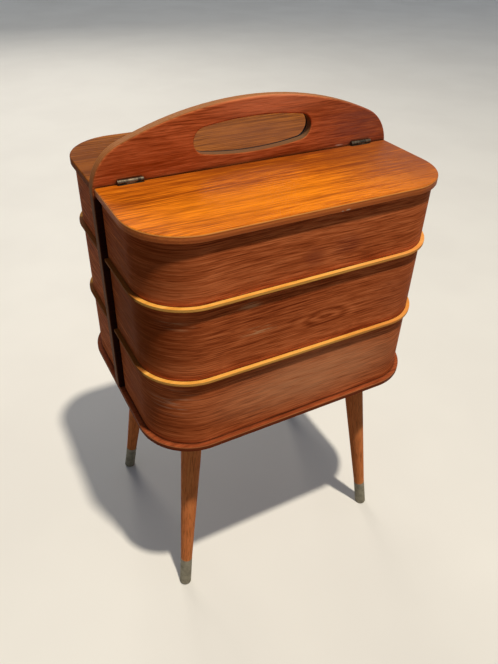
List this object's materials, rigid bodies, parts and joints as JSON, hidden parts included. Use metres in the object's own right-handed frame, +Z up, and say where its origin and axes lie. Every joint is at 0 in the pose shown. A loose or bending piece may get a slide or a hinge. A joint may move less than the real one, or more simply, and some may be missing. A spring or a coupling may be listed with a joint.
{
  "type": "sewing box with trays",
  "caption": "Teak sewing box on splayed tapered legs: lidded bentwood trays swing out on both sides of a centre board with an arched handle.",
  "frame": {"origin": "on the floor under the middle of the centre board", "axes": "+X along the centre board, towards the end where the front trays pivot; +Y from the front half to the rear half; +Z up"},
  "size_m": [0.334, 0.263, 0.564],
  "materials": {
    "lid_teak": "satin lacquered teak veneer, orange",
    "wall_teak": "satin lacquered teak veneer, red-brown",
    "board_teak": "satin lacquered teak",
    "base_teak": "satin lacquered teak veneer",
    "lip_ply": "lacquered plywood, golden edge",
    "inner_wood": "plain hardwood",
    "leg_teak": "satin lacquered turned teak",
    "ferrule_brass": "dull aged metal",
    "hinge_metal": "dark patinated",
    "bolt_steel": "plain"
  },
  "bodies": {
    "box_frame": {"handle_board": "board_teak", "base_plate": "base_teak", "pivot_nuts": "bolt_steel", "leg_ferrules": "ferrule_brass", "leg_front_left": "leg_teak", "leg_block_front_left": "inner_wood", "leg_front_right": "leg_teak", "leg_block_front_right": "inner_wood", "leg_rear_left": "leg_teak", "leg_block_rear_left": "inner_wood", "leg_rear_right": "leg_teak", "leg_block_rear_right": "inner_wood", "front_bottom_tray_bent_wall": "wall_teak", "front_bottom_tray_back_wall": "inner_wood", "front_bottom_tray_pivot_block": "inner_wood", "front_packing_strip": "inner_wood", "front_pivot_bolt": "bolt_steel", "front_board_hinge_leaves": "hinge_metal", "front_hinge_pins": "hinge_metal", "rear_bottom_tray_bent_wall": "wall_teak", "rear_bottom_tray_back_wall": "inner_wood", "rear_bottom_tray_pivot_block": "inner_wood", "rear_packing_strip": "inner_wood", "rear_pivot_bolt": "bolt_steel", "rear_board_hinge_leaves": "hinge_metal", "rear_hinge_pins": "hinge_metal"},
    "front_lid": {"front_lid": "lid_teak", "front_lid_hinge_leaves": "hinge_metal"},
    "front_top_tray": {"front_top_tray_bent_wall": "wall_teak", "front_top_tray_back_wall": "inner_wood", "front_top_tray_bottom": "lip_ply", "front_top_tray_pivot_block": "inner_wood"},
    "front_middle_tray": {"front_middle_tray_bent_wall": "wall_teak", "front_middle_tray_back_wall": "inner_wood", "front_middle_tray_bottom": "lip_ply", "front_middle_tray_pivot_block": "inner_wood"},
    "rear_lid": {"rear_lid": "lid_teak", "rear_lid_hinge_leaves": "hinge_metal"},
    "rear_top_tray": {"rear_top_tray_bent_wall": "wall_teak", "rear_top_tray_back_wall": "inner_wood", "rear_top_tray_bottom": "lip_ply", "rear_top_tray_pivot_block": "inner_wood"},
    "rear_middle_tray": {"rear_middle_tray_bent_wall": "wall_teak", "rear_middle_tray_back_wall": "inner_wood", "rear_middle_tray_bottom": "lip_ply", "rear_middle_tray_pivot_block": "inner_wood"}
  },
  "joints": [
    {"name": "front_lid_hinge", "type": "hinge", "parent": "box_frame", "child": "front_lid", "pos_m": [0, -0.008, 0.5033], "axis": [-1, 0, 0], "range_deg": [0, 93]},
    {"name": "front_top_tray_swing", "type": "hinge", "parent": "box_frame", "child": "front_top_tray", "pos_m": [0.149, -0.0324, 0.4], "axis": [0, 0, 1], "range_deg": [0, 110]},
    {"name": "front_middle_tray_swing", "type": "hinge", "parent": "box_frame", "child": "front_middle_tray", "pos_m": [0.149, -0.0324, 0.35], "axis": [0, 0, 1], "range_deg": [0, 110]},
    {"name": "rear_lid_hinge", "type": "hinge", "parent": "box_frame", "child": "rear_lid", "pos_m": [0, 0.008, 0.5033], "axis": [1, 0, 0], "range_deg": [0, 93]},
    {"name": "rear_top_tray_swing", "type": "hinge", "parent": "box_frame", "child": "rear_top_tray", "pos_m": [-0.149, 0.0324, 0.4], "axis": [0, 0, 1], "range_deg": [0, 110]},
    {"name": "rear_middle_tray_swing", "type": "hinge", "parent": "box_frame", "child": "rear_middle_tray", "pos_m": [-0.149, 0.0324, 0.35], "axis": [0, 0, 1], "range_deg": [0, 110]}
  ]
}
